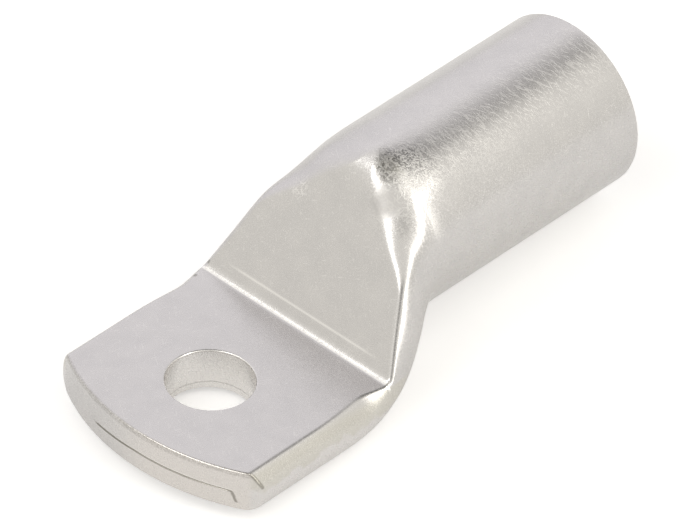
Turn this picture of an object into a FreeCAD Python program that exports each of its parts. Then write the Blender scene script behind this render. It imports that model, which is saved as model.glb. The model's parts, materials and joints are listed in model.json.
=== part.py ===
import FreeCAD, Part
import math
import os

# Tubular cable lug: one piece of drawn copper tube with a tinned finish.
# One end stays a round barrel for the conductor. The other end is pressed
# flat into a palm with a bolt hole, and a sloping face joins the two.
# Frame: origin at the centre of the bolt hole, on the underside of the palm.
# +X runs along the barrel to its open mouth, +Z up through the palm.
# All sizes are in millimetres.

Vec = FreeCAD.Vector

# Drawn tube
BARREL_OD = 18.0          # outside diameter of the tube
WALL = 2.25               # wall of the tube
OVERALL_LENGTH = 58.6     # tip of the palm to the mouth of the barrel
AXIS_HEIGHT = 11.0        # barrel axis above the underside of the palm
MOUTH_EDGE = 0.25         # broken edges of the barrel's mouth

# Pressed palm
PALM_THICKNESS = 4.5      # two walls pressed on each other
PALM_WIDTH = 26.0         # across the bulged sides
TIP_REACH = 10.1          # bolt hole centre to the tip of the palm
TIP_RADIUS = 24.2         # arc of the sheared end
SIDE_ROUND = 1.75         # radius of the lower side edges
SIDE_CROWN = 6.6          # height of the arch that the upper side follows
PALM_EDGE = 0.25          # rounded upper and front edges

# Bolt hole
HOLE_DIAMETER = 8.5       # clearance for an M8 bolt
HOLE_EDGE = 0.16          # rolled rim where the punch entered, on top

# Sloping face
CREASE_REACH = 11.4       # bolt hole centre to the crease
SLOPE_ANGLE = 61.0        # rise of the sloping face, degrees
CREASE_ROUND = 0.5        # radius in the crease
ARCH_ROUND_LOW = 0.35     # edge of the sloping face at the crease
ARCH_ROUND_TOP = 2.2      # edge of the sloping face at its apex

# Stretches of the flare, measured from the crease, minus is towards the palm
WIDTH_RUN = (-7.8, 8.3)       # the width drops from palm to barrel
WIDTH_BEND = 3.0              # power that it drops with
CORNER_RUN = (-4.9, 9.7)      # the lower edge rounds out to the barrel
CORNER_BEND = 2.0             # power that it rounds out with
BOTTOM_RUN = (2.1, 9.4)       # the underside rises to the barrel
CROWN_RUN = (-3.6, 5.5)       # the side arch grows to the barrel's top
SHOULDER_RUN = (-9.9, 13.7)   # the shoulders are pressed lean
SHOULDER_LEAN = 0.30          # fullness that the shoulders lose there
SOFTENING = 1.5               # reach over which a bend in the flare is softened
STATION_PITCH = 1.6           # distance between sections along the flare

# Pressed seam, where the two walls of the palm meet at the sheared end
SEAM_GAP = 0.12           # opening of the seam
SEAM_DEPTH = 0.6          # how far the opening reaches in
SEAM_RIGHT = -10.4        # end of the straight part beside the hook
SEAM_LEFT = 7.5           # end where the seam is pressed shut
SEAM_HEIGHT = 2.05        # height above the underside
SEAM_HOOK_RUN = 0.45      # sideways run of the hook
SEAM_HOOK_DROP = 1.2      # drop of the hook

CIRCLE_WEIGHT = math.sqrt(0.5)   # middle weight that makes a conic a circle
BELLY_ANGLE = 25.0               # part of the round that counts as the belly, degrees
INNER_CORNER = 0.4               # least corner radius inside the tube
SAMPLES = 4                      # places sampled to each side when softening
CLEAR = 5.0                      # how far cutting shapes stand clear of the metal
TOUCH = 0.001                    # two places this near are the same

barrel_radius = BARREL_OD / 2.0
bore_radius = barrel_radius - WALL
mouth_x = OVERALL_LENGTH - TIP_REACH
slope = math.radians(SLOPE_ANGLE)
tip_centre = TIP_RADIUS - TIP_REACH
runs = (WIDTH_RUN, CORNER_RUN, BOTTOM_RUN, CROWN_RUN, SHOULDER_RUN)
flare_start = CREASE_REACH + min(run[0] for run in runs)
flare_end = CREASE_REACH + max(run[1] for run in runs)


def along(x, run):
    """Share of a stretch that lies behind x, from 0 to 1."""
    return min(max((x - CREASE_REACH - run[0]) / (run[1] - run[0]), 0.0), 1.0)


def eased(x, run):
    """The same share, starting and ending smoothly."""
    part = along(x, run)
    return part * part * (3.0 - 2.0 * part)


def bent(x, run, power):
    """The same share, starting slowly by a power and softened at its end."""
    places = [x + SOFTENING * (i - SAMPLES) / SAMPLES for i in range(2 * SAMPLES + 1)]
    return sum(along(place, run) ** power for place in places) / len(places)


def between(start, end, part):
    """Value that lies a given share of the way from start to end."""
    return start + (end - start) * part


def half_section(x, inset):
    """Closed half section of the tube at x, drawn inside the outer form by inset."""
    narrowing = bent(x, WIDTH_RUN, WIDTH_BEND)
    rounding = bent(x, CORNER_RUN, CORNER_BEND)
    half_width = between(PALM_WIDTH / 2.0, barrel_radius, narrowing) - inset
    corner = max(between(SIDE_ROUND, barrel_radius, rounding) - inset, INNER_CORNER)
    bottom = between(0.0, AXIS_HEIGHT - barrel_radius, eased(x, BOTTOM_RUN)) + inset
    palm_top = SIDE_ROUND + SIDE_CROWN
    top = between(palm_top, AXIS_HEIGHT + barrel_radius, eased(x, CROWN_RUN)) - inset
    lean = SHOULDER_LEAN * math.sin(math.pi * along(x, SHOULDER_RUN)) ** 2
    belly = math.radians(BELLY_ANGLE) * rounding

    foot_y = half_width - corner + corner * math.sin(belly)
    foot_z = bottom + foot_y * math.tan(belly / 2.0)
    middle = foot_z + corner * math.cos(belly)
    bend = (belly + math.pi / 2.0) / 2.0
    low = Vec(x, 0.0, bottom)
    foot = Vec(x, foot_y, foot_z)
    turn = Vec(x, half_width - corner + corner * math.sin(bend), middle - corner * math.cos(bend))
    widest = Vec(x, half_width, middle)
    high = Vec(x, 0.0, top)

    if belly > 0.0:
        belly_middle = Vec(x, foot_y * 0.5 / math.cos(belly / 2.0), 0.0)
        belly_middle.z = bottom + belly_middle.y * math.tan(belly / 4.0)
        belly_edge = Part.Arc(low, belly_middle, foot).toShape()
    else:
        belly_edge = Part.LineSegment(low, foot).toShape()
    shoulder = Part.BezierCurve()
    shoulder.setPoles([widest, Vec(x, half_width, top), high])
    shoulder.setWeight(2, CIRCLE_WEIGHT - lean)
    edges = [belly_edge]
    edges.append(Part.Arc(foot, turn, widest).toShape())
    edges.append(shoulder.toShape())
    edges.append(Part.LineSegment(high, low).toShape())
    return Part.Wire(edges)


def half_flare(start, end, inset):
    """Half of the flare between two places, with a straight step at each end."""
    count = max(int(math.ceil((end - start) / STATION_PITCH)), 2)
    places = [start - STATION_PITCH / 2.0]
    places += [between(start, end, i / count) for i in range(count + 1)]
    places.append(end + STATION_PITCH / 2.0)
    return Part.makeLoft([half_section(x, inset) for x in places], True, False)


def half_tube(start, end, radius):
    """Half of a round bar on the barrel's axis."""
    base = Vec(start, 0.0, AXIS_HEIGHT)
    bar = Part.makeCylinder(radius, end - start, base, Vec(1.0, 0.0, 0.0))
    side = Part.makeBox(end - start, radius, 2.0 * radius)
    side.translate(Vec(start, 0.0, AXIS_HEIGHT - radius))
    return bar.common(side)


def envelope():
    """Half of the tube before the press takes the top off its palm end."""
    joint = flare_end + STATION_PITCH / 2.0
    root = flare_start - STATION_PITCH / 2.0
    palm_face = Part.Face(half_section(root, 0.0))
    palm = palm_face.extrude(Vec(-(root + TIP_REACH + CLEAR), 0.0, 0.0))
    flare = half_flare(flare_start, flare_end, 0.0)
    barrel = half_tube(joint, mouth_x, barrel_radius)
    return palm.fuse([flare, barrel])


def slab(points, reach):
    """Solid over an outline in the middle plane, reaching out to both sides."""
    outline = [Vec(x, -reach, z) for x, z in points]
    face = Part.Face(Part.makePolygon(outline + outline[:1]))
    return face.extrude(Vec(0.0, 2.0 * reach, 0.0))


def behind_slope(depth, low):
    """Space behind the sloping face, sunk by depth, down to the level low."""
    high = AXIS_HEIGHT + barrel_radius + CLEAR
    sink = depth / math.cos(slope)
    start = CREASE_REACH + (low - PALM_THICKNESS + sink) / math.tan(slope)
    end = CREASE_REACH + (high - PALM_THICKNESS + sink) / math.tan(slope)
    back = mouth_x + CLEAR
    return slab([(start, low), (end, high), (back, high), (back, low)], PALM_WIDTH)


def edges_where(shape, test):
    """Edges whose middle point passes the test."""
    found = []
    for edge in shape.Edges:
        first, last = edge.ParameterRange
        if test(edge.valueAt((first + last) / 2.0)):
            found.append(edge)
    return found


def on_arch(point):
    """True on the curved edge of the sloping face."""
    height = PALM_THICKNESS + (point.x - CREASE_REACH) * math.tan(slope)
    clear_of_foot = point.z > PALM_THICKNESS + TOUCH
    return abs(point.z - height) < TOUCH and point.y > TOUCH and clear_of_foot


def on_palm_edge(point):
    """True on the upper and front edges of the palm, away from its cut faces."""
    on_top = abs(point.z - PALM_THICKNESS) < TOUCH
    reach = math.hypot(point.x - tip_centre, point.y)
    on_tip = abs(reach - TIP_RADIUS) < TOUCH and point.x < 0.0
    on_cut = point.y < TOUCH or point.x > CREASE_REACH - TOUCH
    return (on_top or on_tip) and not on_cut


def half_palm(tube):
    """Palm in front of the crease, with its sheared end and rounded edges."""
    low = -CLEAR
    front = -(TIP_REACH + CLEAR)
    outline = [(front, low), (CREASE_REACH, low)]
    outline += [(CREASE_REACH, PALM_THICKNESS), (front, PALM_THICKNESS)]
    shear = Part.makeCylinder(TIP_RADIUS, PALM_THICKNESS + 2.0 * CLEAR, Vec(tip_centre, 0.0, low))
    palm = tube.common(slab(outline, PALM_WIDTH)).common(shear).removeSplitter()
    return palm.makeFillet(PALM_EDGE, edges_where(palm, on_palm_edge))


def half_barrel(tube):
    """Barrel and flare behind the crease, with the rounded arch of the slope."""
    upper = tube.common(behind_slope(0.0, PALM_THICKNESS))
    upper = upper.makeFillet(ARCH_ROUND_TOP, ARCH_ROUND_LOW, edges_where(upper, on_arch))
    low = -CLEAR
    back = mouth_x + CLEAR
    outline = [(CREASE_REACH, low), (back, low)]
    outline += [(back, PALM_THICKNESS), (CREASE_REACH, PALM_THICKNESS)]
    return upper.fuse(tube.common(slab(outline, PALM_WIDTH)))


def half_crease():
    """Metal that rounds the inside of the crease."""
    setback = CREASE_ROUND * math.tan(slope / 2.0)
    front = CREASE_REACH - setback
    centre_z = PALM_THICKNESS + CREASE_ROUND
    back = CREASE_REACH + setback * math.cos(slope)
    top = PALM_THICKNESS + setback * math.sin(slope)
    half_turn = slope / 2.0
    first = Vec(front, 0.0, PALM_THICKNESS)
    middle_x = front + CREASE_ROUND * math.sin(half_turn)
    middle = Vec(middle_x, 0.0, centre_z - CREASE_ROUND * math.cos(half_turn))
    last = Vec(back, 0.0, top)
    root = PALM_THICKNESS / 2.0
    inner = Vec(back, 0.0, root)
    outer = Vec(front, 0.0, root)
    outline = [Part.Arc(first, middle, last).toShape()]
    outline.append(Part.makePolygon([last, inner, outer, first]))
    bead = Part.Face(Part.Wire(outline)).extrude(Vec(0.0, PALM_WIDTH, 0.0))
    bound = Part.Face(half_section(CREASE_REACH, ARCH_ROUND_LOW))
    bound.translate(Vec(-CLEAR, 0.0, 0.0))
    return bead.common(bound.extrude(Vec(2.0 * CLEAR, 0.0, 0.0)))


def half_cavity():
    """Inside of the tube, from the mouth to where its walls are pressed shut."""
    joint = flare_end + STATION_PITCH / 2.0
    flare = half_flare(CREASE_REACH, flare_end, WALL)
    bore = half_tube(joint, mouth_x + CLEAR, bore_radius)
    return flare.fuse(bore).common(behind_slope(WALL, -CLEAR))


def bolt_hole():
    """Cutting shape for the bolt hole."""
    height = PALM_THICKNESS + 2.0 * CLEAR
    return Part.makeCylinder(HOLE_DIAMETER / 2.0, height, Vec(0.0, 0.0, -CLEAR))


def seam_strip(start, end):
    """Thin cutting strip through two points of the sheared end, given as (y, z)."""
    run = end[0] - start[0]
    rise = end[1] - start[1]
    length = math.hypot(run, rise)
    side_y = -rise / length * SEAM_GAP / 2.0
    side_z = run / length * SEAM_GAP / 2.0
    front = -(TIP_REACH + CLEAR)
    corners = [
        Vec(front, start[0] + side_y, start[1] + side_z),
        Vec(front, end[0] + side_y, end[1] + side_z),
        Vec(front, end[0] - side_y, end[1] - side_z),
        Vec(front, start[0] - side_y, start[1] - side_z),
    ]
    face = Part.Face(Part.makePolygon(corners + corners[:1]))
    return face.extrude(Vec(TIP_REACH + CLEAR, 0.0, 0.0))


def seam():
    """Opening of the seam along the sheared end, with its hook."""
    left = (SEAM_LEFT, SEAM_HEIGHT)
    right = (SEAM_RIGHT, SEAM_HEIGHT)
    hook = (SEAM_RIGHT - SEAM_HOOK_RUN, SEAM_HEIGHT - SEAM_HOOK_DROP)
    strips = seam_strip(left, right).fuse(seam_strip(right, hook))
    core = Part.makeCylinder(TIP_RADIUS - SEAM_DEPTH, PALM_THICKNESS, Vec(tip_centre, 0.0, 0.0))
    return strips.cut(core)


def on_rim(point):
    """True on the upper rim of the bolt hole, where the punch entered."""
    on_wall = abs(math.hypot(point.x, point.y) - HOLE_DIAMETER / 2.0) < TOUCH
    return on_wall and abs(point.z - PALM_THICKNESS) < TOUCH


def on_mouth(point):
    """True on the two edges of the barrel's mouth."""
    return abs(point.x - mouth_x) < TOUCH


def cable_lug():
    """The whole lug as one solid."""
    tube = envelope()
    half = half_palm(tube).fuse([half_barrel(tube), half_crease()]).cut(half_cavity())
    other = half.mirror(Vec(0.0, 0.0, 0.0), Vec(0.0, 1.0, 0.0))
    whole = half.fuse(other).cut(bolt_hole()).removeSplitter()
    whole = whole.makeFillet(HOLE_EDGE, edges_where(whole, on_rim))
    whole = whole.makeFillet(MOUTH_EDGE, edges_where(whole, on_mouth))
    return whole.cut(seam())


os.makedirs("parts", exist_ok=True)
lug = cable_lug()
solid = lug.Solids[0]
print("solids", len(lug.Solids), "valid", solid.isValid(), "volume", round(solid.Volume, 1))
solid.exportStep("parts/cable_lug.step")
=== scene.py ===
import json
import math
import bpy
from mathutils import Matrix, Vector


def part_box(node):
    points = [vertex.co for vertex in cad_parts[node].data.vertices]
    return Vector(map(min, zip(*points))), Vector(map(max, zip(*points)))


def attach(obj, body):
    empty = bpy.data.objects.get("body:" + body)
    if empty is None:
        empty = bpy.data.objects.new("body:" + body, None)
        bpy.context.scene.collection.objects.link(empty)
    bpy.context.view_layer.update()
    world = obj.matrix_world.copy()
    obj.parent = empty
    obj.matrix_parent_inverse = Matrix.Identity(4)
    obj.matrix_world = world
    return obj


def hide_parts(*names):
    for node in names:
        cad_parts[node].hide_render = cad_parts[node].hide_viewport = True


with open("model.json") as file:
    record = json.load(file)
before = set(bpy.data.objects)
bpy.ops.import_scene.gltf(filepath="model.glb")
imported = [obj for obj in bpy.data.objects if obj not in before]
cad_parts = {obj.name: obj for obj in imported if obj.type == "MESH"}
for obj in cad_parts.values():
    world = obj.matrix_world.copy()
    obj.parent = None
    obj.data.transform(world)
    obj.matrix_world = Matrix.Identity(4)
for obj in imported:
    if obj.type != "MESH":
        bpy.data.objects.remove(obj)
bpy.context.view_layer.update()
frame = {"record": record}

from types import SimpleNamespace

import bmesh
import bpy
import numpy as np
from mathutils import Matrix, Vector

# Tubular cable lug of tinned copper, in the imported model's frame.
# Its tin-plated tube is one mesh: sections like the solid's, moved onto a form with rounded edges.
# Lengths are in millimetres and become metres through MM.

MM = 0.001

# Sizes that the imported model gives
mounts = {mount["name"]: mount for mount in frame["record"]["mounts"]}
box_low, box_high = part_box("cable_lug")
HOLE_RADIUS = mounts["bolt_hole"]["dims"]["r_mm"]
BORE_RADIUS = mounts["barrel_bore"]["dims"]["r_mm"]
AXIS_HEIGHT = mounts["barrel_bore"]["pos_m"][2] / MM
TIP_X = box_low.x / MM
MOUTH_X = box_high.x / MM
PALM_HALF_WIDTH = box_high.y / MM

# Tube and palm
BARREL_RADIUS = 9.0
WALL = BARREL_RADIUS - BORE_RADIUS
PALM_THICKNESS = 2.0 * WALL
TIP_RADIUS = 24.2
TIP_CENTRE = TIP_X + TIP_RADIUS
SIDE_ROUND = 1.75
SIDE_CROWN = 6.6
INNER_CORNER = 0.4
BELLY_ANGLE = math.radians(25.0)
CIRCLE_WEIGHT = math.sqrt(0.5)

# Slope between the palm and the barrel
CREASE_REACH = 11.4
SLOPE = math.radians(61.0)
SLOPE_RISE = AXIS_HEIGHT + BARREL_RADIUS - PALM_THICKNESS
APEX_X = CREASE_REACH + SLOPE_RISE / math.tan(SLOPE)

# Stretches of the flare as start and end from the crease, with the power of some
WIDTH_RUN, WIDTH_BEND = (-7.8, 8.3), 3.0
CORNER_RUN, CORNER_BEND = (-4.9, 9.7), 2.0
BOTTOM_RUN = (2.1, 9.4)
CROWN_RUN = (-3.6, 5.5)
SHOULDER_RUN, SHOULDER_LEAN = (-9.9, 13.7), 0.30
FLARE_END_X = CREASE_REACH + SHOULDER_RUN[1]
SOFTENING, SOFTENING_SAMPLES = 1.5, 4

# Rounded edges, with the shares of the slope's rise in which the arch's radius grows and shrinks
PALM_EDGE = 0.25
ARCH_ROUND_LOW, ARCH_ROUND_MIDDLE, ARCH_ROUND_TOP = 0.35, 2.7, 2.1
ARCH_GROW, ARCH_SHRINK = (0.44, 0.70), (0.72, 0.92)
CREASE_ROUND = 0.5
MOUTH_EDGE = 0.25
HOLE_TOP_EDGE, HOLE_LOW_EDGE = 0.16, 0.05

# Faint step that the press left on the slope, its reach to both sides and how steeply it ends there
DIE_STEP_RISE, DIE_STEP_HEIGHT, DIE_STEP_WIDTH, DIE_STEP_REACH = 1.5, 0.04, 0.1, 10.2
DIE_STEP_FADE = 4.0

# Seam on the sheared end, where the pressed walls meet
SEAM_HEIGHT, SEAM_TILT, SEAM_HALF_WIDTH, SEAM_DEPTH = 2.05, 0.07, 0.07, 0.15
SEAM_RIGHT, SEAM_LEFT = -10.45, 5.8
SEAM_RIGHT_RUN_OUT, SEAM_LEFT_RUN_OUT = 0.3, 0.6

# Shallow dents beside the arch, where the shoulders fold in
DENT_X, DENT_Y, DENT_Z, DENT_RADIUS, DENT_DEPTH = 20.8, 3.6, 18.6, 2.6, 0.35

# Mesh grid: columns of a quarter ring, which is its cap and its side, and rows of the sheared end
CAP_COLUMNS, SIDE_COLUMNS, TIP_ROWS = 30, 20, 24
QUARTER = CAP_COLUMNS + SIDE_COLUMNS
AROUND = 4 * QUARTER

# Least share of the half width that the cap's columns take, from just before the apex to the barrel
CAP_SHARE_LOW, CAP_SHARE_HIGH, CAP_LEAD = 0.2, 0.55, 1.0

# The rings bow as the sheared end does, fully near it and no more past this x
BOW_END_X, BOW_FULL_LENGTH = 1.5, 1.0

# Square round the bolt hole whose mesh runs round the hole, with the places of its rows
HOLE_BLOCK = 6.0
HOLE_SHARES = (1.0, 0.6, 0.35, 0.2, 0.12, 0.07, 0.035, 0.015, 0.0)
HOLE_DEPTHS = (0.02, 0.06, 0.11, 0.17, 0.25, 0.6, 1.5, 2.6, 3.6, 4.2, 4.4, 4.46)

# Rows beside the seam, in half widths of its groove, and the clear strip that they take
SEAM_ROWS, SEAM_CLEAR = (-2.2, -1.4, -0.8, -0.4, 0.0, 0.4, 0.8, 1.4, 2.2), 2.6

# Rows of the mouth and of the bore
ROLL_STEPS, RING_SHARES = 6, (0.05, 0.3, 0.7, 0.95)
BORE_ROWS, FUNNEL_ROWS, END_ROWS, END_LENGTH = 24, 44, 6, 0.5

# Steps that move points onto the form
SETTLE_PASSES, SETTLE_STEP, LEAST_GROWTH, LONGEST_MOVE = 5, 1e-4, 0.25, 0.5

# Clean-up of the mesh, in metres
MERGE_DISTANCE, SHORTEST_EDGE = 2e-7, 1e-8


# Shape of the lug

def share(x, run):
    """Straight share of a stretch of the flare at x."""
    return np.clip((x - CREASE_REACH - run[0]) / (run[1] - run[0]), 0.0, 1.0)


def smooth(value, run):
    """Share of a run from 0 to 1, eased at both ends."""
    part = np.clip((value - run[0]) / (run[1] - run[0]), 0.0, 1.0)
    return part * part * (3.0 - 2.0 * part)


def eased(x, run):
    """Eased share of a stretch of the flare at x."""
    return smooth(x - CREASE_REACH, run)


def bent(x, run, power):
    """Power of a stretch's share at x, averaged over the places near x."""
    count = SOFTENING_SAMPLES
    places = [x + SOFTENING * k / count for k in range(-count, count + 1)]
    return sum(share(place, run) ** power for place in places) / len(places)


def between(start, end, part):
    return start + (end - start) * part


def form(x, inset):
    """Sizes of the tube's section at x, drawn inside the outer form by inset."""
    rounding = bent(x, CORNER_RUN, CORNER_BEND)
    width = between(PALM_HALF_WIDTH, BARREL_RADIUS, bent(x, WIDTH_RUN, WIDTH_BEND)) - inset
    corner = np.maximum(between(SIDE_ROUND, BARREL_RADIUS, rounding) - inset, INNER_CORNER)
    bottom = between(0.0, AXIS_HEIGHT - BARREL_RADIUS, eased(x, BOTTOM_RUN)) + inset
    top = between(SIDE_ROUND + SIDE_CROWN, AXIS_HEIGHT + BARREL_RADIUS, eased(x, CROWN_RUN)) - inset
    lean = SHOULDER_LEAN * np.sin(math.pi * share(x, SHOULDER_RUN)) ** 2
    belly = BELLY_ANGLE * rounding
    foot_y = width - corner + corner * np.sin(belly)
    foot_z = bottom + foot_y * np.tan(belly / 2.0)
    return SimpleNamespace(
        width=width, corner=corner, bottom=bottom, top=top, belly=belly, foot_y=foot_y,
        middle=foot_z + corner * np.cos(belly), belly_curve=np.sin(belly) / foot_y,
        weight=CIRCLE_WEIGHT - lean,
    )


def conic_drop(near, weight):
    """How far a conic shoulder lies below its corner on one side, for a share on the other."""
    total = 2.0 * (1.0 - near) + 4.0 * weight ** 2 * near
    return (total - np.sqrt(np.maximum(total ** 2 - 4.0 * (1.0 - near) ** 2, 0.0))) / 2.0


def upper_z(y, f):
    """Height of the section's shoulder over y."""
    near = 1.0 - np.clip(y / f.width, 0.0, 1.0)
    return f.top - (f.top - f.middle) * conic_drop(near, f.weight)


def lower_z(y, f):
    """Height of the section's belly and lower corner over y."""
    turn = f.belly_curve * y
    belly = f.bottom + f.belly_curve * y ** 2 / (1.0 + np.sqrt(np.maximum(1.0 - turn ** 2, 0.0)))
    out = y - (f.width - f.corner)
    corner = f.middle - np.sqrt(np.maximum(f.corner ** 2 - out ** 2, 0.0))
    return np.where(y > f.foot_y, corner, belly)


def cap_z(x, sink):
    """Height of the palm's face or of the slope over x."""
    slope_z = PALM_THICKNESS + (x - CREASE_REACH) * math.tan(SLOPE) - sink / math.cos(SLOPE)
    return max(PALM_THICKNESS, slope_z) if sink == 0.0 else slope_z


def seam_height(y):
    """Height of the seam, which dips towards the far side."""
    return SEAM_HEIGHT - SEAM_TILT * np.maximum(y, 0.0)


def rounded_union(a, b, radius):
    """Distance outside two forms that are joined, with a round in the corner."""
    rest = np.hypot(np.maximum(radius - a, 0.0), np.maximum(radius - b, 0.0))
    return np.maximum(radius, np.minimum(a, b)) - rest


def rounded_overlap(a, b, radius):
    """Distance outside what two forms share, with a round on the edge."""
    rest = np.hypot(np.maximum(radius + a, 0.0), np.maximum(radius + b, 0.0))
    return np.minimum(-radius, np.maximum(a, b)) + rest


def tube_gap(x, y, z):
    """Distance outside the tube's form, minus inside."""
    f = form(x, 0.0)
    across = y / f.width
    up = (z - f.middle) / (f.top - f.middle)
    past = across + up - 1.0
    pull = 4.0 * f.weight ** 2
    value = past * np.abs(past) - pull * (1.0 - across) * (1.0 - up)
    grow_y = (2.0 * np.abs(past) + pull * (1.0 - up)) / f.width
    grow_z = (2.0 * np.abs(past) + pull * (1.0 - across)) / (f.top - f.middle)
    shoulder = value / np.hypot(grow_y, grow_z)
    out = y - (f.width - f.corner)
    down = f.middle - z
    corner = np.hypot(out, down) - f.corner
    below = f.bottom - z
    square = f.belly_curve * (y ** 2 + below ** 2) + 2.0 * below
    belly = square / (1.0 + np.hypot(f.belly_curve * y, 1.0 + f.belly_curve * below))
    low = np.where(out * np.cos(f.belly) > down * np.sin(f.belly), corner, belly)
    return np.where(z >= f.middle, shoulder, low)


def die_step(run, rise, y):
    """Height of the faint step at the slope's foot."""
    climb = run * math.cos(SLOPE) + rise * math.sin(SLOPE)
    step = 0.5 - 0.5 * np.tanh(2.0 * (climb - DIE_STEP_RISE) / DIE_STEP_WIDTH)
    inside = np.clip(DIE_STEP_FADE * (1.0 - y / DIE_STEP_REACH), 0.0, 1.0)
    return step * DIE_STEP_HEIGHT * inside


def cap_edge(x, rise):
    """Radius of the edge round the palm's face and the slope."""
    height = rise / SLOPE_RISE
    arch = between(ARCH_ROUND_LOW, ARCH_ROUND_MIDDLE, smooth(height, ARCH_GROW))
    arch += (ARCH_ROUND_TOP - ARCH_ROUND_MIDDLE) * smooth(height, ARCH_SHRINK)
    return np.where(x < CREASE_REACH, PALM_EDGE, arch)


def dent(x, y, z):
    """Depth of the dents beside the arch."""
    away = np.sqrt((x - DENT_X) ** 2 + (y - DENT_Y) ** 2 + (z - DENT_Z) ** 2)
    return DENT_DEPTH * np.exp(-(away / DENT_RADIUS) ** 2)


def seam_groove(y, z):
    """Depth of the seam's groove in the sheared end."""
    from_right = smooth(y, (SEAM_RIGHT, SEAM_RIGHT + SEAM_RIGHT_RUN_OUT))
    from_left = smooth(-y, (-SEAM_LEFT, SEAM_LEFT_RUN_OUT - SEAM_LEFT))
    profile = np.exp(-((z - seam_height(y)) / SEAM_HALF_WIDTH) ** 2)
    return SEAM_DEPTH * from_right * from_left * profile


def lug_gap(p):
    """Distance outside the lug with all its rounded edges, minus inside."""
    x, y, z = p[:, 0], np.abs(p[:, 1]), p[:, 2]
    run, rise = x - CREASE_REACH, z - PALM_THICKNESS
    slope = rise * math.cos(SLOPE) - run * math.sin(SLOPE) - die_step(run, rise, y)
    cap = rounded_union(rise, slope, CREASE_ROUND)
    gap = rounded_overlap(tube_gap(x, y, z) + dent(x, y, z), cap, cap_edge(x, rise))
    end = np.hypot(x - TIP_CENTRE, y) - TIP_RADIUS + seam_groove(p[:, 1], z)
    gap = rounded_overlap(gap, np.where(x < 0.0, end, -TIP_RADIUS), PALM_EDGE)
    rim = np.where(z > PALM_THICKNESS / 2.0, HOLE_TOP_EDGE, HOLE_LOW_EDGE)
    return rounded_overlap(gap, HOLE_RADIUS - np.hypot(x, y), rim)


def settle(points):
    """Moves points onto the lug's surface."""
    p = points.copy()
    for _ in range(SETTLE_PASSES):
        gap = lug_gap(p)
        grow = np.stack([
            (lug_gap(p + SETTLE_STEP * axis) - lug_gap(p - SETTLE_STEP * axis)) / (2.0 * SETTLE_STEP)
            for axis in np.eye(3)
        ], axis=1)
        size = np.maximum((grow ** 2).sum(axis=1), LEAST_GROWTH)
        move = np.clip(gap / size, -LONGEST_MOVE, LONGEST_MOVE)
        p -= grow * move[:, None]
    return p


# Mesh of the lug

def stations():
    """Places along the lug where a ring of the outer mesh lies, from starts and spacings."""
    steps = [
        (TIP_X, 0.03), (TIP_X + 0.15, 0.06), (TIP_X + 0.45, 0.15), (TIP_X + 1.05, 0.45),
        (-HOLE_BLOCK, 0.4), (HOLE_BLOCK, 0.5), (CREASE_REACH - 0.6, 0.08),
        (CREASE_REACH + 1.2, 0.2), (APEX_X - 1.6, 0.1), (APEX_X + 1.4, 0.3),
        (FLARE_END_X, 0.9), (MOUTH_X - MOUTH_EDGE, 1.0),
    ]
    places = []
    for (start, step), (end, _) in zip(steps, steps[1:]):
        count = max(round((end - start) / step), 1)
        places += [between(start, end, k / count) for k in range(count)]
    return places + [steps[-1][0]]


def ring(x, inset=0.0, sink=0.0):
    """Points round the tube at x: over the top to one side, back below, and round again."""
    f = form(np.float64(x), inset)
    cap = cap_z(x, sink)
    cut = np.clip(1.0 - (cap - f.middle) / (f.top - f.middle), 0.0, 1.0)
    corner_y = f.width * (1.0 - conic_drop(cut, f.weight)) if cap < f.top else 0.0
    lead = APEX_X - CAP_LEAD
    wide = min(max((x - lead) / (FLARE_END_X - lead), 0.0), 1.0)
    corner_y = max(corner_y, f.width * between(CAP_SHARE_LOW, CAP_SHARE_HIGH, wide))
    from_middle = 1.0 - (1.0 - np.linspace(0.0, 1.0, CAP_COLUMNS + 1)) ** 2
    from_corner = np.sin(np.linspace(0.0, math.pi / 2.0, SIDE_COLUMNS + 1))[1:]
    y = np.concatenate([corner_y * from_middle, between(corner_y, f.width, from_corner)])
    low = lower_z(y, f)
    top = np.maximum(np.minimum(upper_z(y, f), cap), low)
    top[-1] = low[-1] = f.middle if cap > f.middle else low[-1]
    bow = TIP_RADIUS - np.sqrt(TIP_RADIUS ** 2 - y ** 2)
    across = x + bow * smooth(BOW_END_X - x, (0.0, BOW_END_X - TIP_X - BOW_FULL_LENGTH))
    upper = np.stack([across, y, top], axis=1)
    lower = np.stack([across, y, low], axis=1)
    flip = np.array([1.0, -1.0, 1.0])
    return np.concatenate([
        upper, lower[-2::-1], lower[1:] * flip, upper[-2:0:-1] * flip,
    ])


class Sheets:
    """Collects grids of points and the faces between them."""

    def __init__(self):
        self.points, self.faces, self.count = [], [], 0

    def add(self, rows):
        """Adds rows of points and returns the number of the first one."""
        first = self.count
        self.points += rows
        self.count += sum(len(row) for row in rows)
        return first

    def join(self, first, rows, columns, closed, skip=None):
        """Faces between rows of a grid."""
        for row in range(rows - 1):
            for column in range(columns if closed else columns - 1):
                if skip and skip(row, column):
                    continue
                beside = (column + 1) % columns
                low, high = first + row * columns, first + (row + 1) * columns
                self.faces.append((low + column, low + beside, high + beside, high + column))


def block_loop(start, end, reach):
    """Grid places round the square that the bolt hole is cut from."""
    loop = [(start, j) for j in range(-reach, reach)]
    loop += [(i, reach) for i in range(start, end)]
    loop += [(end, j) for j in range(reach, -reach, -1)]
    loop += [(i, -reach) for i in range(end, start, -1)]
    return loop


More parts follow.
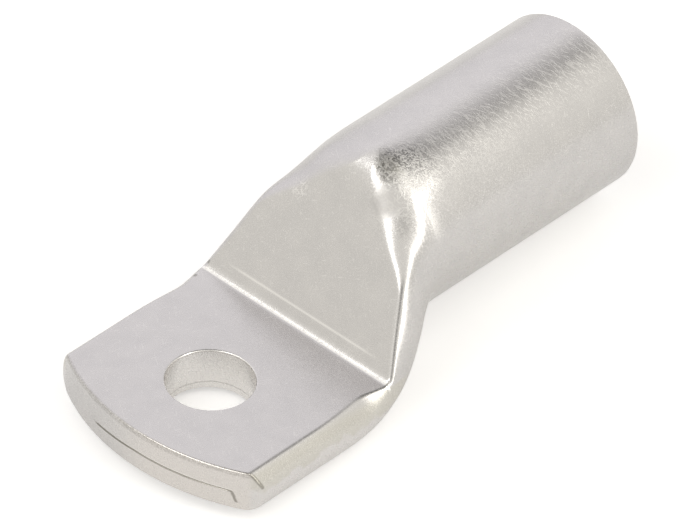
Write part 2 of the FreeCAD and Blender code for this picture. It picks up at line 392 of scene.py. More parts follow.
def outer_skin(sheets):
    """Outside of the tube and the palm, with the bolt hole and the sheared end.

    Returns the last ring, on which the mouth starts.
    """
    places = stations()
    rings = [ring(x) for x in places]
    start = min(range(len(places)), key=lambda i: abs(places[i] + HOLE_BLOCK))
    end = min(range(len(places)), key=lambda i: abs(places[i] - HOLE_BLOCK))
    reach = min(range(CAP_COLUMNS), key=lambda j: abs(rings[start][j, 1] - HOLE_BLOCK))

    def in_block(row, column):
        over = column < reach or column >= AROUND - reach
        under = 2 * QUARTER - reach <= column < 2 * QUARTER + reach
        return start <= row < end and (over or under)

    first = sheets.add([settle(points) for points in rings])
    sheets.join(first, len(rings), AROUND, True, in_block)

    loop = block_loop(start, end, reach)
    over = np.array([rings[i][j % AROUND] for i, j in loop])
    under = np.array([rings[i][2 * QUARTER - j] for i, j in loop])
    bolt_hole(sheets, over, under)
    sheared_end(sheets, rings[0])
    return rings[-1]


def bolt_hole(sheets, over, under):
    """Palm faces round the hole and the wall of the hole, between two loops of the outer mesh."""
    distance = np.hypot(over[:, 0], over[:, 1])
    direction = over[:, :2] / distance[:, None]

    def around_hole(part, z):
        radius = HOLE_RADIUS + (distance - HOLE_RADIUS) * part
        flat = direction * radius[:, None]
        return np.column_stack([flat, np.full(len(flat), z)])

    rows = [over]
    rows += [around_hole(part, PALM_THICKNESS) for part in HOLE_SHARES[1:]]
    rows += [around_hole(0.0, PALM_THICKNESS - depth) for depth in HOLE_DEPTHS]
    rows += [around_hole(part, 0.0) for part in HOLE_SHARES[:0:-1]]
    rows += [under]
    first = sheets.add([settle(row) for row in rows])
    sheets.join(first, len(rows), len(over), True)


def sheared_end(sheets, tip):
    """End face of the palm, with close rows along the seam."""
    upper = np.array([tip[j % AROUND] for j in range(-QUARTER, QUARTER + 1)])
    lower = np.array([tip[(2 * QUARTER - j) % AROUND] for j in range(-QUARTER, QUARTER + 1)])
    seam_share = SEAM_HEIGHT / PALM_THICKNESS
    half_width = SEAM_HALF_WIDTH / PALM_THICKNESS
    shares = (1.0 - np.cos(np.linspace(0.0, math.pi, TIP_ROWS + 1))) / 2.0
    shares = shares[np.abs(shares - seam_share) > SEAM_CLEAR * half_width]
    shares = np.sort(np.concatenate([shares, seam_share + np.array(SEAM_ROWS) * half_width]))
    dip = (seam_height(upper[:, 1]) - SEAM_HEIGHT) / PALM_THICKNESS
    rows = []
    for part in shares:
        near_seam = min(part / seam_share, (1.0 - part) / (1.0 - seam_share))
        rows.append(between(lower, upper, (part + near_seam * dip)[:, None]))
    first = sheets.add([settle(row) for row in rows])
    sheets.join(first, len(rows), 2 * QUARTER + 1, False)


def mouth(sheets, outer):
    """Rolled edges and flat ring of the barrel's open end."""
    turns = [k / ROLL_STEPS * math.pi / 2.0 for k in range(ROLL_STEPS + 1)]
    outer_edge, inner_edge = BARREL_RADIUS - MOUTH_EDGE, BORE_RADIUS + MOUTH_EDGE
    start = MOUTH_X - MOUTH_EDGE
    profile = [
        (start + MOUTH_EDGE * math.sin(turn), outer_edge + MOUTH_EDGE * math.cos(turn)) for turn in turns
    ]
    profile += [(MOUTH_X, between(outer_edge, inner_edge, part)) for part in RING_SHARES]
    profile += [
        (start + MOUTH_EDGE * math.cos(turn), inner_edge - MOUTH_EDGE * math.sin(turn)) for turn in turns
    ]
    rows = []
    for x, radius in profile:
        row = outer.copy()
        row[:, 0] = x
        row[:, 1] *= radius / BARREL_RADIUS
        row[:, 2] = AXIS_HEIGHT + (row[:, 2] - AXIS_HEIGHT) * radius / BARREL_RADIUS
        rows.append(row)
    first = sheets.add(rows)
    sheets.join(first, len(rows), AROUND, True)


def inner_skin(sheets):
    """Inside of the barrel, down to where the walls are pressed shut."""
    sunk = WALL / math.cos(SLOPE)
    shut_x = CREASE_REACH + (WALL + sunk - PALM_THICKNESS) / math.tan(SLOPE)
    places = np.concatenate([
        np.linspace(MOUTH_X - MOUTH_EDGE, FLARE_END_X, BORE_ROWS),
        np.linspace(FLARE_END_X, shut_x + END_LENGTH, FUNNEL_ROWS)[1:],
        np.linspace(shut_x + END_LENGTH, shut_x, END_ROWS)[1:],
    ])
    rows = [ring(x, WALL, WALL) for x in places]
    first = sheets.add(rows)
    sheets.join(first, len(rows), AROUND, True)


def lug_mesh():
    """Whole lug as one mesh, in metres."""
    sheets = Sheets()
    last = outer_skin(sheets)
    mouth(sheets, last)
    inner_skin(sheets)
    mesh = bpy.data.meshes.new("lug_body")
    mesh.from_pydata(np.concatenate(sheets.points) * MM, [], sheets.faces)
    work = bmesh.new()
    work.from_mesh(mesh)
    bmesh.ops.remove_doubles(work, verts=work.verts, dist=MERGE_DISTANCE)
    bmesh.ops.dissolve_degenerate(work, edges=work.edges, dist=SHORTEST_EDGE)
    bmesh.ops.recalc_face_normals(work, faces=work.faces)
    work.to_mesh(mesh)
    work.free()
    mesh.shade_smooth()
    return mesh


# Materials

class Nodes:
    """Short way to write a node tree."""

    def __init__(self, tree):
        self.tree = tree
        tree.nodes.clear()

    def add(self, kind, inputs=(), **settings):
        """New node, with its inputs given as values or as sockets of other nodes."""
        node = self.tree.nodes.new(kind)
        for name, value in settings.items():
            setattr(node, name, value)
        for name, value in dict(inputs).items():
            if isinstance(value, bpy.types.NodeSocket):
                self.tree.links.new(value, node.inputs[name])
            else:
                node.inputs[name].default_value = value
        return node

    def math(self, operation, a, b=0.0, c=0.0):
        return self.add("ShaderNodeMath", {0: a, 1: b, 2: c}, operation=operation).outputs[0]

    def scaled(self, value, factor, base):
        """Value times a factor, plus a base."""
        return self.math("MULTIPLY_ADD", value, factor, base)

    def times(self, first, *others):
        """Product of all values."""
        for other in others:
            first = self.math("MULTIPLY", first, other)
        return first

    def most(self, first, *others):
        """Largest of all values."""
        for other in others:
            first = self.math("MAXIMUM", first, other)
        return first

    def vector(self, operation, a, b):
        return self.add("ShaderNodeVectorMath", {0: a, 1: b}, operation=operation).outputs

    def span(self, value, low, high, to_low=0.0, to_high=1.0):
        """Smooth ramp between two values, which may fall as well as rise."""
        inputs = {"Value": value, "From Min": low, "From Max": high, "To Min": to_low, "To Max": to_high}
        return self.add("ShaderNodeMapRange", inputs, interpolation_type="SMOOTHSTEP").outputs["Result"]

    def noise(self, vector, scale, detail=2.0, roughness=0.5):
        inputs = {"Vector": vector, "Scale": scale, "Detail": detail, "Roughness": roughness}
        return self.add("ShaderNodeTexNoise", inputs).outputs["Fac"]

    def mix(self, factor, start, end):
        """Colour between two colours."""
        inputs = {"Factor": factor, "A": start, "B": end}
        return self.add("ShaderNodeMix", inputs, data_type="RGBA").outputs["Result"]


# Noises as scale per millimetre, detail and roughness
GRAIN_NOISE, MOTTLE_NOISE = (5.5, 3.0, 0.7), (0.45, 3.0, 0.5)
WOBBLE_NOISE, WOBBLE_HEIGHT = (0.9, 3.0, 0.6), 0.3

# Turns of the scratches, in radians: on palm and slope, on worn metal, in the painted dark reflection on
# the barrel's top, on the barrel
FINE_TURNS = ((0.0, 0.0, 0.4), (0.0, 0.0, 2.2), (0.0, 1.06, 1.1), (0.0, 1.06, 2.6))
WORN_TURNS = (
    (0.0, 0.38, 0.1), (-0.33, 0.0, -1.6), (0.0, 0.64, -0.68), (0.0, 0.06, 0.78), (0.0, 1.06, 0.4),
)
REFLECTION_SPOT_TURNS = ((0.0, 0.5, -0.3), (-0.2, 0.0, -1.2), (0.0, 0.2, 0.5))
BARREL_TURNS = ((-0.35, 0.0, 1.27), (-0.35, 0.0, 1.6), (-0.35, 0.0, 0.95))

# Scratches as scale along and across per millimetre, noise where they start and are full, and turns
FINE_HAIRS = (1.0, 7.0, 0.76, 0.80, FINE_TURNS)
WORN_HAIRS = (0.8, 6.5, 0.66, 0.72, WORN_TURNS)
REFLECTION_SPOT_HAIRS = (0.8, 6.5, 0.60, 0.67, REFLECTION_SPOT_TURNS)
BARREL_HAIRS = (0.85, 6.5, 0.66, 0.72, BARREL_TURNS)

# Shares of the fine scratches, which grow above the palm's edge, and of the barrel's
FINE_SHARE, BARREL_SHARE = 0.4, 0.7
FINE_RAMP = (PALM_THICKNESS - 0.2, PALM_THICKNESS - 0.05, 0.2, 1.0)

# Places as point, distance where they end and distance where they are full; worn ones with a share
WORN_PLACES = (
    ((21.8, -3.4, 19.2), 5.5, 1.0, 1.0),
    ((18.6, -5.2, 17.0), 4.0, 0.8, 0.45),
    ((30.0, -3.6, 19.2), 9.0, 2.0, 0.3),
    ((9.5, -6.0, 4.5), 5.0, 1.5, 0.3),
    ((17.0, 5.3, 14.6), 1.6, 0.4, 0.7),
)
# The first of these is a painted dark reflection on the barrel's top beside the arch. The second is a
# scratched, rougher patch whose colour is darkened as painted shade that breaks the arch's highlight
DARK_REFLECTION_SPOT, DULL_SHADED_SPOT = ((20.9, -2.1, 19.2), 1.9, 0.5), ((18.9, -3.8, 17.2), 1.9, 0.7)
BARREL_TOP = ((22.5, -3.2, 19.4), (47.0, -2.6, 19.6), 5.0, 1.0)
# Painted shade of a small fold at the front corner, as a dark line between two points
CORNER_FOLD_SHADE = ((-6.8, -11.9, 4.4), (-6.16, -12.75, 3.0), 0.26, 0.1)
NICKS = (((9.84, 11.65, 4.47), 0.3, 0.1), ((11.74, 11.75, 5.0), 0.3, 0.1))

# Strips as centre, half width where they end and half width where they are full.
# Ramps as start and end, with the values at both where these aren't 0 and 1.
# Painted highlight along the crease: its strip across x, its height band and its grain
CREASE_HIGHLIGHT_STRIP, CREASE_HIGHLIGHT_LEVEL = (CREASE_REACH - 0.22, 0.22, 0.08), (PALM_THICKNESS, 0.6, 0.3)
CREASE_HIGHLIGHT_GRAIN = (0.35, 0.6, 0.45, 1.0)
# Painted highlight along the die step: its strip, its start above the palm and its fade to the sides
DIE_HIGHLIGHT_STRIP, DIE_HIGHLIGHT_RAMP = (0.16, 0.04), (PALM_THICKNESS + 0.1, PALM_THICKNESS + 0.5)
DIE_HIGHLIGHT_SIDE_RAMP = (DIE_STEP_REACH, 0.7 * DIE_STEP_REACH)
TIP_RAMP, TIP_SIDE_RAMP = (TIP_RADIUS - 0.3, TIP_RADIUS - 0.12), (0.5, 0.0)
HOLE_RAMP = (HOLE_RADIUS + 0.12, HOLE_RADIUS + 0.02)
BORE_RAMP, BORE_START_RAMP = (BORE_RADIUS + 0.15, BORE_RADIUS + 0.02), (24.0, 27.0)
SIDE_RAMP = (PALM_HALF_WIDTH - 1.4, PALM_HALF_WIDTH - 0.7)
SIDE_TOP_RAMP = (PALM_THICKNESS - 0.08, PALM_THICKNESS - 0.2)
SIDE_STRIP_RAMP, SIDE_NOISE, SIDE_WAVE = (3.3, 3.8), (0.5, 2.0, 0.5), 2.0
# Painted light on the front of the sheared end, fading out across y
TIP_LIGHT_RAMP = (4.0, -3.0)
SEAM_STRIP = (SEAM_HEIGHT - 0.03, 0.14, 0.05)
SEAM_LEFT_RAMP, SEAM_RIGHT_RAMP = (SEAM_LEFT, SEAM_LEFT - 0.7), (SEAM_RIGHT, SEAM_RIGHT + 0.15)
SEAM_SHADE_RAMP, SEAM_SHADE_GRAIN = (0.5, 2.8, 0.8, 1.0), 3.0
HOOK_SLANT, HOOK_FOOT_Y, HOOK_WAVE = 0.375, -11.17, 1.5
HOOK_STRIP, HOOK_LEVEL = (0.0, 0.2, 0.06), (1.45, 0.66, 0.55)
# Painted highlight along the seam's raised lip: its strip and where it ends on both sides
BURR_HIGHLIGHT_STRIP, BURR_HIGHLIGHT_LEFT_RAMP, BURR_HIGHLIGHT_RIGHT_RAMP = (SEAM_HEIGHT + 0.15, 0.09, 0.03), (3.5, 0.5), (-10.5, -10.3)
SHEARED_RAMP, SHEARED_GRAIN = (PALM_THICKNESS - 0.65, PALM_THICKNESS - 0.35), (0.42, 0.6, 0.9, 0.2)
TORN_STRIP = (0.72, 0.1, 0.03)

# How far each mark darkens or brightens the metal, painted shade and painted highlights among them
SEAM_DARK, SHEARED_DARK, TORN_DARK, DULL_SHADE_DARK, FOLD_SHADE_DARK, NICK_DARK = 0.75, 0.36, 0.3, 0.18, 0.55, 0.5
# Painted dark reflection on the barrel's top, and how much more its scratch-like streaks darken it
SPOT_REFLECTION_DARK, SPOT_HAIR_REFLECTION_DARK = 0.25, 0.35
SCRATCH_BRIGHT, DIE_HIGHLIGHT_BRIGHT, BURR_HIGHLIGHT_BRIGHT = 0.5, 0.36, 0.5

# Relief of the metal: strengths of the bumps, and their depths in millimetres
SMOOTHING, SCRATCH_HEIGHT = 0.7, 0.8
GRAIN_BUMP, WORN_BUMP, GRAIN_DEPTH = 0.12, 0.22, 0.025
MOTTLE_BUMP, MOTTLE_DEPTH = 0.3, 0.06

# Gloss of the metal
ROUGHNESS_RAMP, SCRATCH_ROUGHNESS, DULL_ROUGHNESS = (0.3, 0.7, 0.20, 0.30), 0.15, 0.25
BORE_METALLIC = 0.5

# Colours of the metal, with painted light in the bolt hole, on the sheared end's front and on the side,
# and a white for scratches and painted highlights
SHADE_RAMP = (0.3, 0.7)
TIN_DARK, TIN_LIGHT = (0.605, 0.59, 0.58, 1.0), (0.655, 0.637, 0.623, 1.0)
# Painted light: a lighter tin for the bolt hole's wall and for the front of the sheared end
HOLE_PAINTED_LIGHT_TIN, TIP_PAINTED_LIGHT_TIN = (0.86, 0.84, 0.82, 1.0), (0.70, 0.668, 0.64, 1.0)
# Side of the palm in two tones, partly the tin's own: the lower part with painted light, the upper strip
# with a painted reflection's yellow tint
SIDE_LOW_TONE_AND_LIGHT, SIDE_HIGH_TONE_AND_REFLECTION = (0.69, 0.67, 0.658, 1.0), (0.63, 0.61, 0.565, 1.0)
BRIGHT_WEAR_AND_HIGHLIGHT_TIN, DARK_MARK_AND_SHADE_TIN = (1.0, 0.98, 0.94, 1.0), (0.12, 0.11, 0.08, 1.0)


class Metal(Nodes):
    """Node tree of the lug's metal, with helpers that mark places in millimetres."""

    def __init__(self, tree):
        super().__init__(tree)
        place = self.add("ShaderNodeTexCoord").outputs["Object"]
        to_mm = {"Vector": place, "Scale": (1 / MM, 1 / MM, 1 / MM)}
        self.mm = self.add("ShaderNodeMapping", to_mm).outputs[0]
        at = self.add("ShaderNodeSeparateXYZ", {0: self.mm}).outputs
        self.x, self.y, self.z = at["X"], at["Y"], at["Z"]
        self.aside = self.math("ABSOLUTE", self.y)
        self.grain = self.noise(self.mm, *GRAIN_NOISE)
        self.mottle = self.noise(self.mm, *MOTTLE_NOISE)
        self.wobble = self.scaled(self.noise(self.mm, *WOBBLE_NOISE), WOBBLE_HEIGHT, -WOBBLE_HEIGHT / 2.0)

    def near(self, point, outer, inner):
        """Share of a round area on the metal that fades in between two distances."""
        gap = self.vector("DISTANCE", self.mm, point)["Value"]
        return self.span(gap, inner, outer, 1.0, 0.0)

    def along(self, start, end, outer, inner):
        """Share of the metal near the line between two points."""
        way = Vector(end) - Vector(start)
        from_start = self.vector("SUBTRACT", self.mm, start)[0]
        part = self.vector("DOT_PRODUCT", from_start, way / way.length_squared)["Value"]
        part = self.math("MINIMUM", self.math("MAXIMUM", part, 0.0), 1.0)
        foot = self.add("ShaderNodeVectorMath", {0: way, "Scale": part}, operation="SCALE").outputs[0]
        gap = self.vector("DISTANCE", from_start, foot)["Value"]
        return self.span(gap, inner, outer, 1.0, 0.0)

    def band(self, value, centre, outer, inner):
        """Share of a strip on both sides of a value."""
        away = self.math("ABSOLUTE", self.math("SUBTRACT", value, centre))
        return self.span(away, inner, outer, 1.0, 0.0)

    def radius(self, a, b, centre):
        """Distance from an axis, by two coordinates across it."""
        flat = self.add("ShaderNodeCombineXYZ", {0: a, 1: b}).outputs[0]
        return self.vector("DISTANCE", flat, (*centre, 0.0))["Value"]

    def hairs(self, stretch, thin, low, high, turns):
        """Short thin scratches in several directions, from noise whose peaks alone show."""
        lines = []
        for turn in turns:
            turned = self.add("ShaderNodeMapping", {"Vector": self.mm, "Rotation": turn}).outputs[0]
            drawn = {"Vector": turned, "Scale": (stretch, thin, thin)}
            drawn = self.add("ShaderNodeMapping", drawn).outputs[0]
            lines.append(self.span(self.noise(drawn, 1.0, 0.0), low, high))
        return self.most(*lines)


def seam_marks(n, on_tip):
    """Dark line of the seam with its hook, and a painted highlight along the seam's raised lip beside it.
    """
    level = n.scaled(n.math("MAXIMUM", n.y, 0.0), SEAM_TILT, n.z)
    straight = n.times(
        n.band(level, *SEAM_STRIP), n.span(n.y, *SEAM_LEFT_RAMP), n.span(n.y, *SEAM_RIGHT_RAMP),
    )
    hook_line = n.scaled(n.z, -HOOK_SLANT, n.math("SUBTRACT", n.y, HOOK_FOOT_Y))
    hook = n.band(n.scaled(n.wobble, HOOK_WAVE, hook_line), *HOOK_STRIP)
    hook = n.times(hook, n.band(n.z, *HOOK_LEVEL))
    shade = n.span(n.scaled(n.grain, SEAM_SHADE_GRAIN, n.y), *SEAM_SHADE_RAMP)
    seam = n.times(n.most(straight, hook), on_tip, shade)
    burr_highlight = n.times(
        n.band(level, *BURR_HIGHLIGHT_STRIP), n.span(n.y, *BURR_HIGHLIGHT_LEFT_RAMP), n.span(n.y, *BURR_HIGHLIGHT_RIGHT_RAMP), on_tip,
    )
    return seam, burr_highlight


def painted_crease_highlight(n):
    """Painted highlight along the crease, broken up by the grain."""
    crease = n.times(n.band(n.x, *CREASE_HIGHLIGHT_STRIP), n.band(n.z, *CREASE_HIGHLIGHT_LEVEL))
    return n.times(crease, n.span(n.grain, *CREASE_HIGHLIGHT_GRAIN))


def painted_die_step_highlight(n):
    """Painted highlight along the faint step on the slope."""
    climb = n.scaled(n.x, math.cos(SLOPE), n.times(n.z, math.sin(SLOPE)))
    start = CREASE_REACH * math.cos(SLOPE) + PALM_THICKNESS * math.sin(SLOPE)
    line = n.band(climb, start + DIE_STEP_RISE, *DIE_HIGHLIGHT_STRIP)
    return n.times(line, n.span(n.z, *DIE_HIGHLIGHT_RAMP), n.span(n.aside, *DIE_HIGHLIGHT_SIDE_RAMP))


def dark_marks_and_shade(n, seam, on_tip, in_hole, dull_and_shaded):
    """Share of the dark marks, seam, sheared and torn edges and nicks, and of painted shade: the painted
    dark reflection on the barrel's top, the shaded patch by the arch and the fold's shade.
    """
    level = n.math("ADD", n.z, n.wobble)
    sheared = n.times(n.span(level, *SHEARED_RAMP), n.span(n.grain, *SHEARED_GRAIN), on_tip)
    torn = n.times(n.band(level, *TORN_STRIP), in_hole)
    spot = n.scaled(n.hairs(*REFLECTION_SPOT_HAIRS), SPOT_HAIR_REFLECTION_DARK, SPOT_REFLECTION_DARK)
    return n.most(
        n.times(seam, SEAM_DARK), n.times(sheared, SHEARED_DARK), n.times(torn, TORN_DARK),
        n.times(dull_and_shaded, DULL_SHADE_DARK), n.times(n.along(*CORNER_FOLD_SHADE), FOLD_SHADE_DARK),
        n.times(n.near(*DARK_REFLECTION_SPOT), spot), *[n.times(n.near(*nick), NICK_DARK) for nick in NICKS],
    )


def tin_colour_and_painted_light(n, on_tip, in_hole):
    """Colour of the tin without its marks, with painted light in the bolt hole and on the front of the
    sheared end, and painted light and a painted reflection's tint in the side's two tones.
    """
    speckle = n.scaled(n.grain, 0.5, n.times(n.mottle, 0.5))
    colour = n.mix(n.span(speckle, *SHADE_RAMP), TIN_DARK, TIN_LIGHT)
    # Painted light: the wall of the bolt hole is made lighter
    colour = n.mix(in_hole, colour, HOLE_PAINTED_LIGHT_TIN)
    # Painted light: the front of the sheared end is made lighter and warmer
    colour = n.mix(n.times(on_tip, n.span(n.y, *TIP_LIGHT_RAMP)), colour, TIP_PAINTED_LIGHT_TIN)
    # Side in two tones with a wavy border: painted light below, and a painted reflection's tint on the
    # upper strip
    on_side = n.times(n.span(n.aside, *SIDE_RAMP), n.span(n.z, *SIDE_TOP_RAMP))
    strip = n.scaled(n.noise(n.mm, *SIDE_NOISE), SIDE_WAVE, n.z)
    return n.mix(on_side, colour, n.mix(n.span(strip, *SIDE_STRIP_RAMP), SIDE_LOW_TONE_AND_LIGHT, SIDE_HIGH_TONE_AND_REFLECTION))


def relief(n, scratches, worn, in_hole):
    """Normal of the metal with its grain, scratches and broad waves."""
    smoothed = n.most(n.times(worn, SMOOTHING), in_hole)
    height = n.times(n.grain, n.math("SUBTRACT", 1.0, smoothed))
    height = n.scaled(scratches, SCRATCH_HEIGHT, height)
    strength = n.scaled(worn, WORN_BUMP, GRAIN_BUMP)
    fine = {"Height": height, "Strength": strength, "Distance": GRAIN_DEPTH * MM}
    fine = n.add("ShaderNodeBump", fine).outputs[0]
    broad = {"Height": n.mottle, "Strength": MOTTLE_BUMP, "Distance": MOTTLE_DEPTH * MM, "Normal": fine}
    return n.add("ShaderNodeBump", broad).outputs[0]


def tinned_metal():
    """Satin tin plating, with the marks of the press, the shears and wear, and with painted highlights,
    painted shade and painted light.
    """
    material = bpy.data.materials.new("tinned_copper")
    material.use_nodes = True
    n = Metal(material.node_tree)

    on_tip = n.span(n.radius(n.x, n.y, (TIP_CENTRE, 0.0)), *TIP_RAMP)
    on_tip = n.times(on_tip, n.span(n.x, *TIP_SIDE_RAMP))
    in_hole = n.span(n.radius(n.x, n.y, (0.0, 0.0)), *HOLE_RAMP)
    in_bore = n.span(n.radius(n.y, n.z, (0.0, AXIS_HEIGHT)), *BORE_RAMP)
    in_bore = n.times(in_bore, n.span(n.x, *BORE_START_RAMP))
    # Scratched patch by the arch that is rougher, and darkened as painted shade that breaks the arch's
    # highlight
    dull_and_shaded = n.near(*DULL_SHADED_SPOT)

    worn = n.most(*[n.times(n.near(*place), part) for *place, part in WORN_PLACES])
    on_barrel = n.times(n.along(*BARREL_TOP), BARREL_SHARE)
    scratches = n.most(
        n.times(n.hairs(*FINE_HAIRS), n.span(n.z, *FINE_RAMP), FINE_SHARE),
        n.times(n.hairs(*WORN_HAIRS), worn), n.times(n.hairs(*BARREL_HAIRS), on_barrel),
    )
    seam, burr_highlight = seam_marks(n, on_tip)
    # Lighter metal of the scratches, and painted highlights along the crease, the die step and the seam's
    # lip
    bright_wear_and_highlights = n.most(
        n.times(scratches, SCRATCH_BRIGHT), painted_crease_highlight(n), n.times(painted_die_step_highlight(n), DIE_HIGHLIGHT_BRIGHT),
        n.times(burr_highlight, BURR_HIGHLIGHT_BRIGHT),
    )
    colour = n.mix(bright_wear_and_highlights, tin_colour_and_painted_light(n, on_tip, in_hole), BRIGHT_WEAR_AND_HIGHLIGHT_TIN)
    colour = n.mix(dark_marks_and_shade(n, seam, on_tip, in_hole, dull_and_shaded), colour, DARK_MARK_AND_SHADE_TIN)
    rough = n.scaled(scratches, SCRATCH_ROUGHNESS, n.span(n.grain, *ROUGHNESS_RAMP))
    rough = n.scaled(n.most(dull_and_shaded, in_bore), DULL_ROUGHNESS, rough)
    shader = n.add("ShaderNodeBsdfPrincipled", {
        "Base Color": colour, "Roughness": rough,
        "Metallic": n.scaled(in_bore, BORE_METALLIC - 1.0, 1.0),
        "Normal": relief(n, scratches, n.most(worn, on_barrel), in_hole),
    })
    out = n.add("ShaderNodeOutputMaterial", {"Surface": shader.outputs[0]})
    out.is_active_output = True
    return material


# Studio

# Floor: it meets the palm's heel at one x, and lies a little below the touching points
FLOOR_FOOT_X, FLOOR_SINK, FLOOR_HALF = 13.5, 0.02, 1500.0
FLOOR_COLOUR, FLOOR_GLOW_COLOUR = (0.86, 0.86, 0.86, 1.0), (1.0, 0.985, 0.965, 1.0)
FLOOR_GLOW_SEEN, FLOOR_GLOW_CAMERA = 0.2, 0.22

# Patches of the surroundings as azimuth, elevation, angles where they end and are full, and light
CEILING, ZENITH = (80.0, 73.5, 29.0, 8.0, 0.17), (-60.0, 82.0, 15.0, 6.0, 0.15)
PHOTOGRAPHER = (-138.0, 33.0, 20.0, 9.0, 0.4)

# Ramps of the surroundings by the sine of the height or the cosine from a direction
UP, HORIZON_RAMP = (0.0, 90.0), (0.0, 0.6, 0.91, 1.0)
COOL_SIDE, COOL_RAMP = (30.0, 10.0), (0.2, 0.9)
WARM_LIGHT, COOL_LIGHT = (1.0, 0.98, 0.93, 1.0), (1.025, 1.005, 1.035, 1.0)
UNMIRRORED_LEVEL = 0.75
WHITE = (1.0, 1.0, 1.0, 1.0)

# Lamps as name, azimuth, elevation, width, height, radiance and colour, with angles in degrees
LAMP_DISTANCE, LAMP_TARGET = 500.0, (15.0, 0.0, 8.0)
LAMPS = (
    ("lamp_left", -60.0, 57.0, 20.0, 20.0, 3.0, (1.0, 1.0, 1.0)),
    ("lamp_front", -95.0, 43.0, 18.0, 18.0, 3.0, (1.0, 1.0, 1.0)),
    ("lamp_right", 169.0, 25.0, 15.0, 54.0, 2.2, (1.0, 0.985, 0.94)),
    ("lamp_above_right", 157.0, 53.0, 18.0, 18.0, 2.1, (1.0, 0.98, 0.92)),
    ("lamp_crest", 150.0, 72.0, 16.0, 16.0, 1.6, (1.0, 0.98, 0.92)),
)


def floor():
    """Pale floor that the lug rests on with its palm's heel and its barrel's mouth."""
    lift = (AXIS_HEIGHT - BARREL_RADIUS) / (MOUTH_X - FLOOR_FOOT_X)
    mesh = bpy.data.meshes.new("floor")
    corners = [(-FLOOR_HALF, -FLOOR_HALF), (FLOOR_HALF, -FLOOR_HALF),
               (FLOOR_HALF, FLOOR_HALF), (-FLOOR_HALF, FLOOR_HALF)]
    points = [Vector((x, y, (x - FLOOR_FOOT_X) * lift - FLOOR_SINK)) * MM for x, y in corners]
    mesh.from_pydata(points, [], [(0, 1, 2, 3)])
    plane = bpy.data.objects.new("floor", mesh)
    bpy.context.scene.collection.objects.link(plane)
    mesh.materials.append(floor_white())


def floor_white():
    """White paint that glows a little where the camera or the metal sees it."""
    material = bpy.data.materials.new("floor_white")
    material.use_nodes = True
    n = Nodes(material.node_tree)
    path = n.add("ShaderNodeLightPath").outputs
    seen = n.most(path["Is Camera Ray"], path["Is Glossy Ray"], path["Is Transmission Ray"])
    strength = n.scaled(path["Is Camera Ray"], FLOOR_GLOW_CAMERA, n.times(seen, FLOOR_GLOW_SEEN))
    diffuse = n.add("ShaderNodeBsdfDiffuse", {"Color": FLOOR_COLOUR})
    glow = n.add("ShaderNodeEmission", {"Color": FLOOR_GLOW_COLOUR, "Strength": strength})
    both = n.add("ShaderNodeAddShader", {0: diffuse.outputs[0], 1: glow.outputs[0]})
    n.add("ShaderNodeOutputMaterial", {"Surface": both.outputs[0]})
    return material


def direction(azimuth, elevation):
    """Unit vector from the lug, by compass angle from +Y towards +X and angle above the horizon."""
    a, e = math.radians(azimuth), math.radians(elevation)
    return Vector((math.sin(a) * math.cos(e), math.cos(a) * math.cos(e), math.sin(e)))


def studio_world():
    """White surroundings, with a grey part of the ceiling and a grey part behind the camera."""
    world = bpy.data.worlds.new("studio")
    bpy.context.scene.world = world
    world.use_nodes = True
    n = Nodes(world.node_tree)
    ray = n.add("ShaderNodeTexCoord").outputs["Generated"]

    def towards(azimuth, elevation):
        return n.vector("DOT_PRODUCT", ray, direction(azimuth, elevation))["Value"]

    def patch(azimuth, elevation, outer, inner, shade):
        """Light of a round patch that fades in between two angles from its centre."""
        edges = [math.cos(math.radians(angle)) for angle in (outer, inner)]
        return n.span(towards(azimuth, elevation), edges[0], edges[1], 1.0, shade)

    above = n.math("MINIMUM", patch(*CEILING), patch(*ZENITH))
    horizon = n.span(towards(*UP), *HORIZON_RAMP)
    path = n.add("ShaderNodeLightPath").outputs
    mirrored = n.most(path["Is Glossy Ray"], path["Is Transmission Ray"])
    level = n.span(mirrored, 0.0, 1.0, UNMIRRORED_LEVEL, 1.0)
    strength = n.times(above, n.times(patch(*PHOTOGRAPHER), horizon), level)
    tint = n.mix(n.span(towards(*COOL_SIDE), *COOL_RAMP), WARM_LIGHT, COOL_LIGHT)
    studio = n.add("ShaderNodeBackground", {"Color": tint, "Strength": strength})
    white = n.add("ShaderNodeBackground", {"Color": WHITE, "Strength": 1.0})
    pick = {0: path["Is Camera Ray"], 1: studio.outputs[0], 2: white.outputs[0]}
    n.add("ShaderNodeOutputWorld", {"Surface": n.add("ShaderNodeMixShader", pick).outputs[0]})


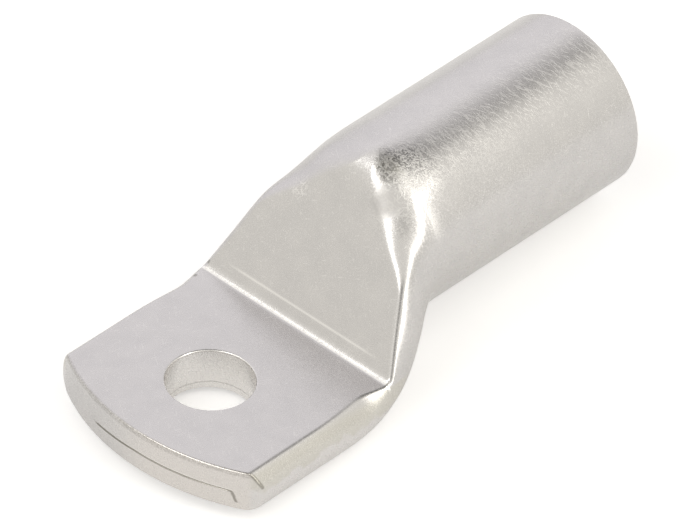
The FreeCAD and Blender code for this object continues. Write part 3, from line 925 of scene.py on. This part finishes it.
def softbox(name, azimuth, elevation, width, height, radiance, colour):
    """Lamp that faces the lug, round where its two angles are the same."""
    light = bpy.data.lights.new(name, "AREA")
    light.shape = "ELLIPSE" if width == height else "RECTANGLE"
    light.size = 2.0 * LAMP_DISTANCE * math.tan(math.radians(width / 2.0)) * MM
    light.size_y = 2.0 * LAMP_DISTANCE * math.tan(math.radians(height / 2.0)) * MM
    area = light.size * light.size_y * (math.pi / 4.0 if light.shape == "ELLIPSE" else 1.0)
    light.energy = radiance * math.pi * area
    light.color = colour
    lamp = bpy.data.objects.new(name, light)
    out = direction(azimuth, elevation)
    lamp.location = (Vector(LAMP_TARGET) + out * LAMP_DISTANCE) * MM
    lamp.rotation_euler = out.to_track_quat("Z", "Y").to_euler()
    lamp.visible_camera = False
    bpy.context.scene.collection.objects.link(lamp)


# Camera

CAMERA_AZIMUTH, CAMERA_ELEVATION, CAMERA_ROLL = -47.908, 39.521, 2.506
CAMERA_DISTANCE, CAMERA_LENS, CAMERA_SENSOR = 830.56, 460.33, 36.0
CAMERA_TARGET = (15.35, -2.86, 11.48)
CAMERA_NEAR, CAMERA_FAR = 10.0, 20000.0


def camera():
    """Long lens at the photo's viewing angle."""
    data = bpy.data.cameras.new("camera")
    data.lens = CAMERA_LENS
    data.sensor_width = CAMERA_SENSOR
    data.clip_start, data.clip_end = CAMERA_NEAR * MM, CAMERA_FAR * MM
    eye = bpy.data.objects.new("camera", data)
    a, e = math.radians(CAMERA_AZIMUTH), math.radians(CAMERA_ELEVATION)
    back = Vector((math.sin(a) * math.cos(e), -math.cos(a) * math.cos(e), math.sin(e)))
    right = Vector((math.cos(a), math.sin(a), 0.0))
    up = back.cross(right)
    turn = Matrix((right, up, back)).transposed()
    turn = turn @ Matrix.Rotation(math.radians(CAMERA_ROLL), 3, "Z")
    place = (Vector(CAMERA_TARGET) + back * CAMERA_DISTANCE) * MM
    eye.matrix_world = Matrix.Translation(place) @ turn.to_4x4()
    bpy.context.scene.collection.objects.link(eye)
    bpy.context.scene.camera = eye


camera()
studio_world()
for lamp in LAMPS:
    softbox(*lamp)
floor()

lug = bpy.data.objects.new("lug_body", lug_mesh())
bpy.context.scene.collection.objects.link(lug)
lug.data.materials.append(tinned_metal())
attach(lug, "root")
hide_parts("cable_lug")

bpy.context.scene.view_settings.view_transform = "Standard"
